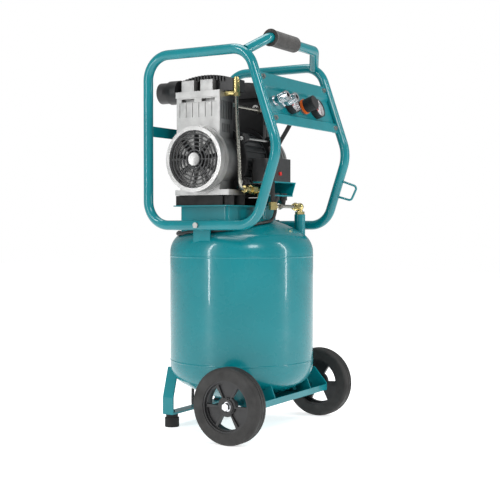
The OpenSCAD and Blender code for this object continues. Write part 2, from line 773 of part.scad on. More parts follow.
// Folded sheet under the tank with an ear for each axle bolt.
module wheel_bracket() {
    inner_x = ear_x - ear_t;
    ear = [[bracket_front_y, bracket_low_z], [axle_y + 62, bracket_low_z],
        [axle_y + 62, bracket_low_z + 10], [axle_y + 16, bracket_low_z + 62],
        [axle_y - 14, bracket_low_z + 62], [bracket_front_y, bracket_low_z + 20]];
    web = [[bracket_front_y + 2, bracket_low_z], [axle_y + 50, bracket_low_z],
        [axle_y + 50, sump_z], [axle_y - 20, sump_z], [bracket_front_y + 2, bracket_low_z + 14]];
    color(teal) seat() difference() {
        union() {
            translate([-ear_x, bracket_front_y, bracket_low_z])
                cube([2 * ear_x, axle_y + 55 - bracket_front_y, bracket_t]);
            translate([-ear_x, bracket_front_y, bracket_low_z]) cube([2 * ear_x, bracket_t, 16]);
            both_sides() translate([inner_x, 0, 0]) rotate([90, 0, 90]) linear_extrude(ear_t) polygon(ear);
            both_sides() translate([95, 0, 0]) rotate([90, 0, 90]) linear_extrude(bracket_t) polygon(web);
        }
        translate([0, 0, sump_z]) mirror([0, 0, 1]) dome_solid(0);
        translate([0, 0, sump_z - eps]) cylinder(h = 100, r = tank_r, $fn = 128);
        translate([0, axle_y, wheel_r]) rod_x(-ear_x - 20, ear_x + 20, axle_r);
    }
}

// Shoulder bolts that carry the wheels, with a nut in each hub's recess.
module axle_bolts() {
    hub_in = wheel_x - hub_half;
    nut_x = wheel_x + 8 + gap;
    color(chrome) seat() both_sides() translate([0, axle_y, wheel_r]) {
        rod_x(ear_x - ear_t - 1, wheel_x + hub_half, axle_r);
        rod_x(ear_x, hub_in - gap, axle_r + 4);
        translate([ear_x - ear_t - 8, 0, 0]) rotate([0, 90, 0]) hex(8, 15);
        rod_x(nut_x, nut_x + 1.6, 12);
        translate([nut_x + 1.6, 0, 0]) rotate([0, 90, 0]) hex(10, 17);
    }
}

// Bent strap that carries the rear of the tank on two rubber feet.
module foot_strap() {
    strap_t = 5;
    knee = foot_h + 45;
    top = sump_z - 12;
    inward = 24;
    side = [[foot_x + 20, foot_h], [foot_x + 20, knee], [foot_x + 20 - inward, top],
        [foot_x + 20 - inward - strap_t, top], [foot_x + 20 - strap_t, knee],
        [foot_x + 20 - strap_t, foot_h + strap_t]];
    outline = concat(side, [for (k = [len(side) - 1:-1:0]) [-side[k].x, side[k].y]]);
    color(teal) seat() difference() {
        translate([0, foot_y + strap_w / 2, 0]) rotate([90, 0, 0]) linear_extrude(strap_w) polygon(outline);
        translate([0, 0, sump_z]) mirror([0, 0, 1]) dome_solid(0);
        both_sides() translate([foot_x, foot_y, foot_h - 1]) cylinder(h = 10, r = 4.2);
    }
}

module rubber_feet() {
    color(black) seat() both_sides() translate([foot_x, foot_y, 0]) {
        cylinder(h = foot_h - 10, r = 19);
        translate([0, 0, foot_h - 10 - eps]) cylinder(h = 10 + eps, r = 16);
        translate([0, 0, foot_h - eps]) cylinder(h = 9, r = 4);
        translate([0, 0, foot_h + 5]) hex(5, 13);
    }
}

// Condensate drain at the bottom of the tank.
module drain_valve() {
    color(brass) seat() translate([0, 0, sump_low_z - 10]) difference() {
        union() {
            translate([0, 0, -6]) hex(6, 19);
            translate([0, 0, -1]) cylinder(h = 12, r = 7.9);
            translate([0, 0, -16]) cylinder(h = 10 + eps, r = 6);
        }
        translate([0, 0, -20]) cylinder(h = 40, r = 3);
    }
}

module drain_knob() {
    color(brass) seat() translate([0, 0, sump_low_z - 10]) difference() {
        union() {
            translate([0, 0, -22]) cylinder(h = 15, r = 9);
            translate([-15, -1.5, -22]) cube([30, 3, 9]);
        }
        translate([0, 0, -16 - gap]) cylinder(h = 20, r = 6 + run_fit);
        translate([0, 0, -30]) cylinder(h = 20, r = 3);
    }
}

// ---------------------------------------------------------------- pump

// Puts a pump piece on the left or right end; local +X points outward from the motor.
module pump_end(s) {
    translate([pump_x, shaft_y, shaft_z]) mirror([s < 0 ? 1 : 0, 0, 0]) children();
}

module both_ends() { for (s = [-1, 1]) pump_end(s) children(); }

module motor_casing() {
    r = motor_d / 2;
    fins = 30;
    color(dark) seat() pump_end(1) difference() {
        union() {
            rod_x(-motor_half, motor_half, r - 4);
            for (k = [0:fins - 1]) rotate([k * 360 / fins, 0, 0])
                translate([-motor_half, -1.5, r - 6]) cube([2 * motor_half, 3, 6]);
            for (x = [-motor_half, motor_half - 5]) rod_x(x, x + 5, r);
        }
        rod_x(-motor_half - 1, motor_half + 1, r - 8);
    }
}

// Laminated stator with its copper end windings.
module stator() {
    color(copper) seat() pump_end(1) {
        difference() {
            rod_x(-38, 38, motor_d / 2 - 8);
            rod_x(-39, 39, 46);
            for (a = [0:15:345]) rotate([a, 0, 0]) translate([-39, -2.5, 40]) cube([78, 5, 16]);
        }
        for (x = [-52, 38]) ring_x(x, x + 14, 70, 52);
    }
}

// Four long bolts that clamp the crankcases on the motor.
module tie_rods() {
    color(steel) seat() pump_end(1) for (a = [33, 147, 213, 327]) rotate([a, 0, 0])
        translate([0, ear_pcr, 0]) {
            rod_x(-motor_half - 14, motor_half + 14, tie_d / 2);
            for (x = [-motor_half - 20, motor_half + 14]) translate([x, 0, 0]) rotate([0, 90, 0]) hex(6, 10);
        }
}

// Shaft with the squirrel cage and both crank journals.
module rotor() {
    color(steel) seat() pump_end(1) {
        rod_x(-fan_x - 14, fan_x + 14, shaft_d / 2 - run_fit);
        rod_x(-40, 40, 45);
        for (s = [-1, 1]) mirror([s < 0 ? 1 : 0, 0, 0])
            translate([0, 0, s * throw]) rod_x(rod_x - 7, rod_x + 7, journal_r);
    }
}

module cooling_fans() {
    blade_l = shroud_r - 18;
    color(black) seat() both_ends() translate([fan_x, 0, 0]) difference() {
        union() {
            rod_x(0, 14, 18);
            for (a = [0:40:320]) rotate([a, 0, 0]) translate([7, 0, 0]) rotate([0, 0, 35])
                translate([-6, -1, 12]) cube([12, 2, blade_l - 12]);
        }
        rod_x(-1, 15, shaft_d / 2 - run_fit);
    }
}

module shaft_bearings() {
    color(steel) seat() both_ends() for (x = [motor_half + 6, case_x - 16])
        ring_x(x, x + 12, 20, shaft_d / 2);
}

// Cast crankcases, each with its cylinder neck, motor flange and sole.
module crankcases() {
    neck_w = 65;
    sole_y = -88;
    color(cast) seat() both_ends() difference() {
        union() {
            rod_x(motor_half + 2, case_x, shroud_r - 3);
            rod_x(motor_half, motor_half + 9, bell_r);
            for (a = [33, 147, 213, 327]) rotate([a, 0, 0]) translate([0, ear_pcr, 0])
                rod_x(motor_half, motor_half + 14, 13);
            translate([case_x - neck_w, neck_mid - neck_half, 0]) cube([neck_w, 2 * neck_half, neck_top]);
            translate([motor_half + 8, -60, sole_low + 8]) cube([case_l - 8, 120, 50]);
            translate([motor_half + 1, sole_y, sole_low]) cube([case_l - 1, 76 - sole_y, 14]);
        }
        rod_x(motor_half + 17.5, case_x - 18, shroud_r - 16);
        rod_x(motor_half - 1, motor_half + 6, motor_d / 2 - 10);
        rod_x(motor_half - 1, case_x + 1, 20);
        translate([rod_x, 0, 0]) cylinder(h = neck_top + 1, r = liner_r);
        for (k = [0:4]) translate([case_x - 48 + 8 * k, 0, 70]) {
            translate([0, neck_mid - neck_half - 1, 0]) cube([4, 6, 22]);
            translate([0, neck_mid + neck_half - 5, 0]) cube([4, 6, 22]);
        }
        for (a = [33, 147, 213, 327]) rotate([a, 0, 0]) translate([0, ear_pcr, 0])
            rod_x(motor_half - 1, motor_half + 15, tie_d / 2 + 0.3);
    }
}

module cylinder_liners() {
    color(steel) seat() both_ends() translate([rod_x, 0, 0]) difference() {
        translate([0, 0, 58]) cylinder(h = neck_top - 58, r = liner_r);
        translate([0, 0, 57]) cylinder(h = neck_top, r = cylinder_d / 2);
    }
}

// One-piece rocking piston on its crank journal.
module piston_rod(s) {
    piston_r = cylinder_d / 2 - throw - 1;
    color(cast) seat() pump_end(s) translate([rod_x, 0, s * throw]) difference() {
        union() {
            rod_x(-6, 6, 24);
            translate([-5, -7, 18]) cube([10, 14, 62]);
            translate([0, 0, 78]) cylinder(h = 8, r = piston_r);
        }
        rod_x(-7, 7, journal_r + run_fit);
    }
}

module left_piston_rod() { piston_rod(-1); }

module right_piston_rod() { piston_rod(1); }

// Ribbed cylinder heads with their cover plates and silencer blocks.
module cylinder_heads() {
    head_w = 65;
    flutes = 6;
    color(cast) seat() both_ends() difference() {
        union() {
            translate([case_x - head_w, neck_mid - neck_half, neck_top])
                cube([head_w, 2 * neck_half, head_top - neck_top + 1]);
            translate([case_x - 67, neck_mid - neck_half - 1, head_top])
                cube([69, 2 * neck_half + 3, plate_top - head_top]);
            for (y = [[-37, 37], [20, 38]]) translate([case_x - 22, y[0], plate_top - 1])
                cube([18, y[1], 30]);
        }
        for (k = [0:flutes - 1]) translate([case_x - 2, neck_mid - neck_half + 9 + k * 19.6, neck_top + 12])
            cube([4, 16, head_top - neck_top - 24]);
        for (y = [-46, 16]) translate([case_x - 14, y, head_top - 11]) cube([16, 40, 8]);
        for (k = [0:6]) translate([case_x - head_w + 5 + 8 * k, neck_mid - neck_half - 1, neck_top + 6])
            cube([4, 11, head_top - neck_top - 16]);
        for (k = [0:6]) translate([case_x - head_w + 5 + 8 * k, neck_mid + neck_half - 10, neck_top + 6])
            cube([4, 11, head_top - neck_top - 16]);
        translate([rod_x, 0, neck_top - 1]) cylinder(h = 18, r = cylinder_d / 2);
    }
}

// Vented black covers over the inlet side of the heads.
module head_covers() {
    arch_r = 260;
    wall = 2.5;
    cover_x = case_x - 85;
    color(black) seat() both_ends() difference() {
        intersection() {
            translate([cover_x, -84, plate_top]) cube([59, 160, cover_top - plate_top]);
            translate([0, -2, cover_top - arch_r]) rod_x(cover_x - 1, case_x, arch_r);
        }
        intersection() {
            translate([cover_x + wall, -84 + wall, plate_top - 1])
                cube([59 - 2 * wall, 160 - 2 * wall, cover_top - plate_top]);
            translate([0, -2, cover_top - arch_r]) rod_x(cover_x - 1, case_x, arch_r - wall);
        }
        for (k = [0:13]) translate([case_x - 34, -62 + 9.5 * k, cover_top - 20]) cube([10, 4.5, 22]);
    }
}

module air_filters() {
    color(black) seat() both_ends() translate([case_x - 29, 0, plate_top + 4]) {
        rod_y(76, 106, 31);
        rod_y(106 - eps, 137, 27.5);
    }
}

// Shrouds with a bright front rim and a dark waist.
module fan_shrouds() {
    color(cast) seat() both_ends() translate([case_x, 0, 0]) difference() {
        union() {
            rod_x(0, 4, shroud_r + 4);
            rod_x(0, shroud_l - 8, shroud_r - 4);
            rod_x(shroud_l - 9, shroud_l, shroud_r);
        }
        rod_x(-1, shroud_l + 1, shroud_r - 10);
    }
}

// Grilles: rings and spokes around a bright disc.
module fan_grilles() {
    rings = 5;
    pitch = 10.2;
    r0 = 24;
    x0 = case_x + shroud_l - 8;
    color(dark) seat() both_ends() {
        for (k = [0:rings - 1]) ring_x(x0, x0 + 3, r0 + k * pitch + 1.6, r0 + k * pitch - 1.6);
        ring_x(x0, x0 + 3, shroud_r - 10, shroud_r - 13.5);
        for (a = [0:45:315]) rotate([a, 0, 0]) translate([x0, -1.2, 12]) cube([3, 2.4, shroud_r - 23]);
        rod_x(x0, x0 + 5, 18.5);
    }
}

// Rubber mounts and the dark skirts in front of them.
module pump_mounts() {
    color(black) seat() both_ends() {
        for (x = [motor_half + 8, case_x - 22], y = [-74, 62]) translate([x, y, mount_low])
            cylinder(h = sole_low - mount_low, r = 14);
        translate([case_x - 6, -67, mount_low]) cube([4, 142, sole_low - mount_low - 1]);
    }
}

// ---------------------------------------------------------------- air line

// Elbow on the left head, check valve on the tank, and the outlet elbow with its tee.
module brass_fittings() {
    boss_top = head_base_z + 100;
    color(brass) seat() {
        translate([elbow_x, elbow_y, shaft_z]) {
            translate([0, 0, plate_top - 7.5]) cylinder(h = 35, r = 8.2);
            translate([0, 0, plate_top + 27]) cylinder(h = 6, r = 6.5);
            translate([0, 0, elbow_low]) hex(9, 16);
            translate([0, 0, (head_top + plate_top) / 2]) rod_y(0, elbow_run, 6.5);
        }
        translate([0, valve_y, valve_z]) {
            translate([valve_x, 0, 0]) rotate([0, 90, 0]) hex(14, 17);
            rod_x(valve_x + 13, inlet_x, 7.5);
            translate([valve_x + 30, 0, 0]) rotate([0, 90, 0]) hex(22, 21);
            translate([inlet_x, 0, dome_top_z + 4 - valve_z]) cylinder(h = valve_z - dome_top_z - 4, r = 7.8);
            translate([inlet_x, 0, dome_top_z + 14 - valve_z]) hex(8, 22);
            translate([inlet_x, 0, 0]) sphere(9.5);
        }
        difference() {
            union() {
                translate([outlet_x, outlet_y, boss_top - 12]) cylinder(h = outlet_z - boss_top + 12, r = 7.8);
                translate([outlet_x, outlet_y, boss_top]) hex(8, 22);
                translate([outlet_x, outlet_y, outlet_z]) sphere(10.5);
                translate([0, outlet_y, outlet_z]) rod_x(outlet_x - 22, outlet_x, 8);
                translate([outlet_x - 30, outlet_y, outlet_z]) rotate([0, 90, 0]) hex(11, 19);
                translate([tee_x, outlet_y, outlet_z - 10]) hex(20, 18);
                translate([0, outlet_y, outlet_z]) rod_x(tee_x, tee_x + 16, 6.5);
            }
            translate([0, outlet_y, outlet_z]) rod_x(tee_x + 9, outlet_x - 9, pipe_r);
        }
    }
}

// Delivery pipe, cross pipe between the heads, and the low pipe on the tank.
module air_pipes() {
    color(steel) seat() {
        swept_tube(smooth(pipe_route, 5), 4.6, 12);
        pump_end(1) translate([0, -52, 143]) {
            rod_x(-case_x + 65, case_x - 65, 4);
            both_sides() translate([case_x - 77, 0, 0]) rotate([0, 90, 0]) hex(12, 16);
        }
        translate([0, outlet_y, outlet_z]) rod_x(tee_x + 9, outlet_x - 9, pipe_r);
        translate([tee_x + 30, outlet_y, outlet_z]) rotate([0, 90, 0]) hex(12, 15);
    }
}

module panel_hose() {
    color(black) seat() swept_tube(smooth(hose_route, 4), 5.5, 12);
}

module safety_valve() {
    color(brass) seat() on_panel(relief_x, control_s, manifold_off - manifold_w / 2) mirror([0, 0, 1])
        difference() {
            union() {
                cylinder(h = 3, r = 6);
                translate([0, 0, 2]) hex(9, 17);
                translate([0, 0, 10]) cylinder(h = 14, r = 7.5);
            }
            translate([0, 0, 12]) cylinder(h = 20, r = 2 + run_fit);
        }
}

// Pull pin with its split ring.
module safety_ring() {
    ring_r = 11;
    color(chrome) seat() on_panel(relief_x, control_s, manifold_off - manifold_w / 2) mirror([0, 0, 1]) {
        translate([0, 0, 13]) cylinder(h = 17, r = 2);
        translate([0, 0, 24 + gap]) cylinder(h = 4, r = 4);
        translate([0, 0, 29 + ring_r]) rotate([0, 90, 0]) rotate_extrude() translate([ring_r, 0])
            circle(1.1, $fn = 16);
    }
}

// ---------------------------------------------------------------- switch

module switch_box() {
    wall = 2.5;
    color(dark) seat() difference() {
        translate([box_x, box_y, box_low_z]) rounded_box([box_w, box_dep, box_h], 6);
        translate([box_x, box_y, box_low_z - 1])
            rounded_box([box_w - 2 * wall, box_dep - 2 * wall, box_h - wall + 1], 4);
        translate([switch_x, box_y, box_low_z]) cylinder(h = box_h + 1, r = 5.3);
        translate([reset_x, 0, box_low_z + 20]) rod_y(box_y - box_dep / 2 - 1, box_y, 5.3);
    }
}

// Pull-up starting knob.
module switch_knob() {
    color("firebrick") seat() translate([switch_x, box_y, box_low_z + box_h]) {
        translate([0, 0, -14]) cylinder(h = 3, r = 9);
        translate([0, 0, -12]) cylinder(h = 14, r = 5);
        translate([0, 0, 1]) cylinder(h = 12, r = 11);
    }
}

module reset_button() {
    front = box_y - box_dep / 2;
    color("firebrick") seat() translate([reset_x, 0, box_low_z + 20]) {
        rod_y(front - 4, front + 6, 5);
        rod_y(front + 2.5 + gap, front + 6, 8);
    }
}

// Folded carrier under the switch box, with a leg down to the platform.
module switch_bracket() {
    left_x = box_x - box_w / 2;
    right_x = box_x + box_w / 2;
    y0 = box_y - box_dep / 2;
    depth = box_dep - 6;
    shell = [[left_x, box_low_z], [right_x + 26, box_low_z], [right_x + 8, box_low_z - 32],
        [right_x + 8, bracket_z], [right_x + 5, bracket_z], [right_x + 5, box_low_z - 31],
        [right_x + 20, box_low_z - 3], [left_x, box_low_z - 3]];
    color(teal) seat() {
        difference() {
            union() {
                translate([0, y0 + depth, 0]) rotate([90, 0, 0]) linear_extrude(depth) polygon(shell);
                translate([left_x + 12, y0, bracket_z - 3]) cube([box_w - 4, 38, 3 + eps / 2]);
                translate([right_x + 5, y0, bracket_z - 3]) cube([3, depth, 4]);
                translate([right_x + 5, y0 + 30, platform_z])
                    cube([3, platform_front_y + 8 - y0 - 30, bracket_z - platform_z]);
            }
            for (x = gland_xs) translate([x, gland_y, bracket_z - 10]) cylinder(h = 20, r = 6.3);
        }
    }
}

// Lead glands: the mains lead's own, and the one for the motor's lead.
module cord_gland() {
    color(black) seat() for (x = gland_xs) translate([x, gland_y, 0]) {
        translate([0, 0, bracket_z - 4]) cylinder(h = 6, r = 6);
        translate([0, 0, bracket_z - 13]) hex(10, 17);
        translate([0, 0, bracket_z + eps / 2]) hex(5, 17);
        translate([0, 0, gland_low_z]) cylinder(h = bracket_z - 12 - gland_low_z, r1 = 4.8, r2 = 7);
    }
}

// ---------------------------------------------------------------- cord

module mains_cord() {
    color(black) seat() swept_tube(smooth(cord_route, 2), cord_r, 10);
}

// The wound spare length on the floor.
module cord_coil() {
    color(black) seat() translate([coil_x, coil_y, coil_h / 2]) rotate_extrude() translate([coil_r, 0])
        rounded_square([coil_turns_w, coil_h], 6);
}

// Round two-pin plug lying beside the coil.
module mains_plug() {
    tail = coil_x + 32;
    color(black) seat() translate([0, coil_y + coil_r + coil_turns_w / 2, plug_r]) {
        rod_x(coil_x, tail + 1, cord_d / 2);
        rod_x(tail, tail + 17, 5.5);
        rod_x(tail + 15, tail + 20, 11);
        rod_x(tail + 19, tail + 46, plug_r);
        for (y = [-9.5, 9.5]) translate([0, y, 0]) rod_x(tail + 45, tail + 64, 2.4);
    }
}

// ---------------------------------------------------------------- nodes

tank_shell();
tank_heads();
pump_platform();
left_frame_loop();
right_frame_loop();
frame_bolts();
rear_cross_bar();
handle_tube();
handle_grip();
control_panel();
cable_hook();
wheel_bracket();
axle_bolts();
foot_strap();
rubber_feet();
left_tyre();
left_rim();
right_tyre();
right_rim();
drain_valve();
drain_knob();
motor_casing();
stator();
tie_rods();
rotor();
cooling_fans();
shaft_bearings();
crankcases();
cylinder_liners();
left_piston_rod();
right_piston_rod();
cylinder_heads();
head_covers();
air_filters();
fan_shrouds();
fan_grilles();
pump_mounts();
brass_fittings();
air_pipes();
panel_hose();
air_manifold();
regulator_knob();
regulator_ring();
gauges();
gauge_lenses();
left_needle();
right_needle();
couplings();
left_coupling_sleeve();
right_coupling_sleeve();
safety_valve();
safety_ring();
switch_box();
switch_knob();
reset_button();
switch_bracket();
cord_gland();
mains_cord();
cord_coil();
mains_plug();
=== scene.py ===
import json
import math

import bmesh
import bpy
from mathutils import Matrix, Vector


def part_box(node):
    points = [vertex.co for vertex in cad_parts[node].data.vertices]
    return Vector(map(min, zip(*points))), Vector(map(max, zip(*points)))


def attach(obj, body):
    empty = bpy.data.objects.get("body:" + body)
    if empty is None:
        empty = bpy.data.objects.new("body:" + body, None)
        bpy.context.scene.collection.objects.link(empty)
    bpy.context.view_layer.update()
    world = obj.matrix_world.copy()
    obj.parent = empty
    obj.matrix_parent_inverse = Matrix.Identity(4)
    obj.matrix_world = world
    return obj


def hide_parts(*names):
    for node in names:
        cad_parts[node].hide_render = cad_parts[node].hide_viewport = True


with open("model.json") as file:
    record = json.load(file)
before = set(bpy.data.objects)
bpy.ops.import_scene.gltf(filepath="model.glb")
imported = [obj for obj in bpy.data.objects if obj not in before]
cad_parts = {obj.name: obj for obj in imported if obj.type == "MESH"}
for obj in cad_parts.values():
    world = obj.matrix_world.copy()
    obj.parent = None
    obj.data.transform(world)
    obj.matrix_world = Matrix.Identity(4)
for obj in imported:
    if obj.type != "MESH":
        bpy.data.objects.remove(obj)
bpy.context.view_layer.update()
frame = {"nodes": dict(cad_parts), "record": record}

NODES = frame["nodes"]
JOINTS = {j["name"]: j for j in frame["record"]["behaviour"]["joints"]}
ROOT = "frame"
SIDES = (("left", -1), ("right", 1))


# ------------------------------------------------------------------ camera

CAM_POS = Vector((-2.4214, -1.4284, 0.5348))
CAM_YAW = math.radians(30.59)
CAM_DIP = math.radians(1.21)
CAM_SENSOR = 36.0
CAM_LENS = 76.3
CAM_SHIFT_Y = -0.0053

cam_data = bpy.data.cameras.new("camera")
cam_data.sensor_width = CAM_SENSOR
cam_data.lens = CAM_LENS
cam_data.shift_y = CAM_SHIFT_Y
cam = bpy.data.objects.new("camera", cam_data)
bpy.context.collection.objects.link(cam)
cam.location = CAM_POS
look = Vector((math.cos(CAM_YAW) * math.cos(CAM_DIP), math.sin(CAM_YAW) * math.cos(CAM_DIP),
               -math.sin(CAM_DIP)))
cam.rotation_euler = look.to_track_quat("-Z", "Y").to_euler()
bpy.context.scene.camera = cam


# ------------------------------------------------------------------ shared helpers

def link(obj):
    bpy.context.collection.objects.link(obj)
    return obj


def mm(v):
    return v / 1000.0


# Noise textures stay mostly between these two values, so colours and roughness are spread over them.
NOISE_LOW = 0.3
NOISE_HIGH = 0.7


class Mat:
    """A node material, with helpers that vary its colour, its roughness and its surface."""

    def __init__(self, name, color, rough, metal=0.0, coat=0.0, coat_rough=0.1, spec=0.5):
        self.mat = bpy.data.materials.new(name)
        self.mat.use_nodes = True
        tree = self.mat.node_tree
        self.nodes = tree.nodes
        self.links = tree.links
        self.bsdf = self.nodes["Principled BSDF"]
        self.bsdf.inputs["Base Color"].default_value = (*color, 1)
        self.bsdf.inputs["Roughness"].default_value = rough
        self.bsdf.inputs["Metallic"].default_value = metal
        self.bsdf.inputs["Coat Weight"].default_value = coat
        self.bsdf.inputs["Coat Roughness"].default_value = coat_rough
        self.bsdf.inputs["Specular IOR Level"].default_value = spec
        self.height = None
        tex = self.nodes.new("ShaderNodeTexCoord")
        self.coord = tex.outputs["Object"]

    def noise(self, scale, detail=4.0, rough=0.55, stretch=None):
        node = self.nodes.new("ShaderNodeTexNoise")
        node.inputs["Scale"].default_value = scale
        node.inputs["Detail"].default_value = detail
        node.inputs["Roughness"].default_value = rough
        src = self.coord
        if stretch:
            mapping = self.nodes.new("ShaderNodeMapping")
            mapping.inputs["Scale"].default_value = stretch
            self.links.new(src, mapping.inputs["Vector"])
            src = mapping.outputs["Vector"]
        self.links.new(src, node.inputs["Vector"])
        return node.outputs["Fac"]

    def cells(self, scale):
        node = self.nodes.new("ShaderNodeTexVoronoi")
        node.inputs["Scale"].default_value = scale
        self.links.new(self.coord, node.inputs["Vector"])
        return node.outputs["Distance"]

    def ramp(self, fac, stops):
        """Colour ramp through two (position, colour) stops."""
        node = self.nodes.new("ShaderNodeValToRGB")
        for element, (position, color) in zip(node.color_ramp.elements, stops):
            element.position = position
            element.color = (*color, 1)
        self.links.new(fac, node.inputs["Fac"])
        return node.outputs["Color"]

    def blend_color(self, fac, low, high):
        return self.ramp(fac, [(NOISE_LOW, low), (NOISE_HIGH, high)])

    def vary_color(self, fac, low, high):
        self.links.new(self.blend_color(fac, low, high), self.bsdf.inputs["Base Color"])

    def vary_rough(self, fac, low, high):
        node = self.nodes.new("ShaderNodeMapRange")
        node.inputs["From Min"].default_value = NOISE_LOW
        node.inputs["From Max"].default_value = NOISE_HIGH
        node.inputs["To Min"].default_value = low
        node.inputs["To Max"].default_value = high
        self.links.new(fac, node.inputs["Value"])
        self.links.new(node.outputs["Result"], self.bsdf.inputs["Roughness"])

    def bump(self, fac, strength, distance):
        node = self.nodes.new("ShaderNodeBump")
        node.inputs["Strength"].default_value = strength
        node.inputs["Distance"].default_value = distance
        if self.height:
            self.links.new(self.height, node.inputs["Normal"])
        self.links.new(fac, node.inputs["Height"])
        self.height = node.outputs["Normal"]
        self.links.new(self.height, self.bsdf.inputs["Normal"])


def shade(color, k):
    """The colour k times as bright."""
    return tuple(min(1.0, c * k) for c in color)


def paint(name, color, rough=0.2, coat=0.4):
    m = Mat(name, color, rough, coat=coat, coat_rough=0.04, spec=0.3)
    m.vary_color(m.noise(9, 5), shade(color, 0.9), shade(color, 1.08))
    m.vary_rough(m.noise(30, 4), rough * 0.85, rough * 1.2)
    m.bump(m.noise(260, 2, 0.5), 0.12, 0.0006)
    return m.mat


def cast(name, color, rough=0.45, grain=520):
    m = Mat(name, color, rough, metal=0.85)
    m.vary_color(m.noise(22, 6, 0.65), shade(color, 0.8), shade(color, 1.1))
    m.vary_rough(m.noise(60, 4), rough * 0.8, rough * 1.25)
    m.bump(m.noise(grain, 3, 0.6), 0.35, 0.0008)
    return m.mat


def plastic(name, color, rough=0.45, grain=900, amount=0.25, spec=0.45):
    m = Mat(name, color, rough, spec=spec)
    m.vary_color(m.noise(16, 5), shade(color, 0.8), shade(color, 1.25))
    m.vary_rough(m.noise(45, 4), rough * 0.8, rough * 1.2)
    m.bump(m.noise(grain, 2, 0.5), amount, 0.0004)
    return m.mat


def metal(name, color, rough=0.2, stretch=(1, 1, 1), scale=80):
    m = Mat(name, color, rough, metal=1.0)
    m.vary_color(m.noise(12, 4), shade(color, 0.88), shade(color, 1.06))
    streaks = m.noise(scale, 5, 0.6, stretch)
    m.vary_rough(streaks, rough * 0.85, rough * 1.2)
    m.bump(streaks, 0.015, 0.0002)
    return m.mat


TEAL = (0.0, 0.168, 0.195)
ALLOY = (0.42, 0.42, 0.415)
# Painted shade: the cast alloy's colour on the machine's inner faces, which stand in shade.
ALLOY_IN_SHADE = (0.045, 0.045, 0.046)
teal = paint("teal_enamel", TEAL)
teal_sheet = paint("teal_sheet", shade(TEAL, 1.05), rough=0.32, coat=0.25)
alu_dark = cast("cast_alloy_dark", (0.20, 0.20, 0.205), rough=0.5)
alu_bright = cast("machined_alloy", (0.44, 0.44, 0.435), rough=0.34, grain=900)
black_moulded = plastic("black_moulded", (0.014, 0.014, 0.015), rough=0.38)
black_satin = plastic("black_satin", (0.02, 0.02, 0.021), rough=0.5)
dark_paint = paint("dark_enamel", (0.03, 0.032, 0.034), rough=0.42, coat=0.15)
grille_mat = plastic("grille_coat", (0.022, 0.023, 0.024), rough=0.34)
rim_mat = plastic("rim_moulded", (0.016, 0.016, 0.017), rough=0.42, grain=700, amount=0.3)
chrome = metal("chrome_plate", (0.62, 0.63, 0.65), rough=0.12)
zinc = metal("bright_zinc", (0.36, 0.36, 0.35), rough=0.3)
brass = metal("brass_fitting", (0.60, 0.50, 0.22), rough=0.24)
steel_pipe = metal("steel_pipe", (0.36, 0.35, 0.31), rough=0.26)
rubber = plastic("rubber", (0.012, 0.012, 0.012), rough=0.7, grain=600, amount=0.4, spec=0.3)
cord_mat = plastic("cord_sheath", (0.012, 0.012, 0.013), rough=0.48, grain=1400, amount=0.2)
orange = plastic("orange_moulded", (0.80, 0.13, 0.012), rough=0.32)
red = plastic("red_moulded", (0.55, 0.015, 0.012), rough=0.3)
copper = metal("copper_winding", (0.60, 0.27, 0.13), rough=0.35, stretch=(1, 60, 60))
dial_white = plastic("dial_face", (0.78, 0.76, 0.74), rough=0.5, grain=300, amount=0.05)
dial_ink = plastic("dial_ink", (0.02, 0.02, 0.02), rough=0.6)
dial_red = plastic("dial_red", (0.50, 0.03, 0.02), rough=0.6)


def tyre_material():
    m = Mat("tyre_rubber", (0.018, 0.018, 0.019), 0.62, spec=0.35)
    m.vary_color(m.noise(14, 6, 0.7), (0.012, 0.012, 0.012), (0.035, 0.034, 0.033))
    m.vary_rough(m.noise(40, 4), 0.5, 0.8)
    m.bump(m.noise(420, 4, 0.65), 0.35, 0.0008)
    return m.mat


def foam_material():
    m = Mat("foam_grip", (0.03, 0.028, 0.026), 0.85, spec=0.2)
    m.vary_color(m.noise(60, 5), (0.020, 0.019, 0.018), (0.045, 0.042, 0.039))
    m.bump(m.cells(650), 0.5, 0.0010)
    m.bump(m.noise(180, 4), 0.3, 0.0012)
    m.bsdf.inputs["Sheen Weight"].default_value = 0.25
    return m.mat


def glass_material():
    m = Mat("lens", (0.95, 0.97, 1.0), 0.06, spec=0.6)
    m.bsdf.inputs["Transmission Weight"].default_value = 1.0
    m.bsdf.inputs["IOR"].default_value = 1.25
    m.vary_rough(m.noise(30, 3), 0.03, 0.09)
    return m.mat


def head_material(name, color, dark, rough):
    """Cast alloy with painted shade: bright at the machine's two outer ends and darkened towards the shade
    colour from dark_depth inwards, where the inner faces stand in shade.
    """
    dark_depth = 0.060
    bright_depth = 0.004
    m = Mat(name, color, rough, metal=0.8)
    base = m.blend_color(m.noise(22, 6, 0.65), shade(color, 0.82), shade(color, 1.1))
    sep = m.nodes.new("ShaderNodeSeparateXYZ")
    m.links.new(m.coord, sep.inputs["Vector"])
    off = m.nodes.new("ShaderNodeMath")
    off.operation = "ABSOLUTE"
    m.links.new(sep.outputs["X"], off.inputs[0])
    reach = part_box("cylinder_heads")[1].x
    stops = [(reach - dark_depth, (0, 0, 0)), (reach - bright_depth, (1, 1, 1))]
    outwards = m.ramp(off.outputs["Value"], stops)
    # Painted shade: the alloy colour is mixed towards the shade colour on the inner faces, where the machine
    # shades itself.
    mix = m.nodes.new("ShaderNodeMix")
    mix.data_type = "RGBA"
    mix.inputs["A"].default_value = (*dark, 1)
    m.links.new(outwards, mix.inputs["Factor"])
    m.links.new(base, mix.inputs["B"])
    m.links.new(mix.outputs["Result"], m.bsdf.inputs["Base Color"])
    m.vary_rough(m.noise(60, 4), rough * 0.8, rough * 1.25)
    m.bump(m.noise(520, 3, 0.6), 0.35, 0.0008)
    return m.mat


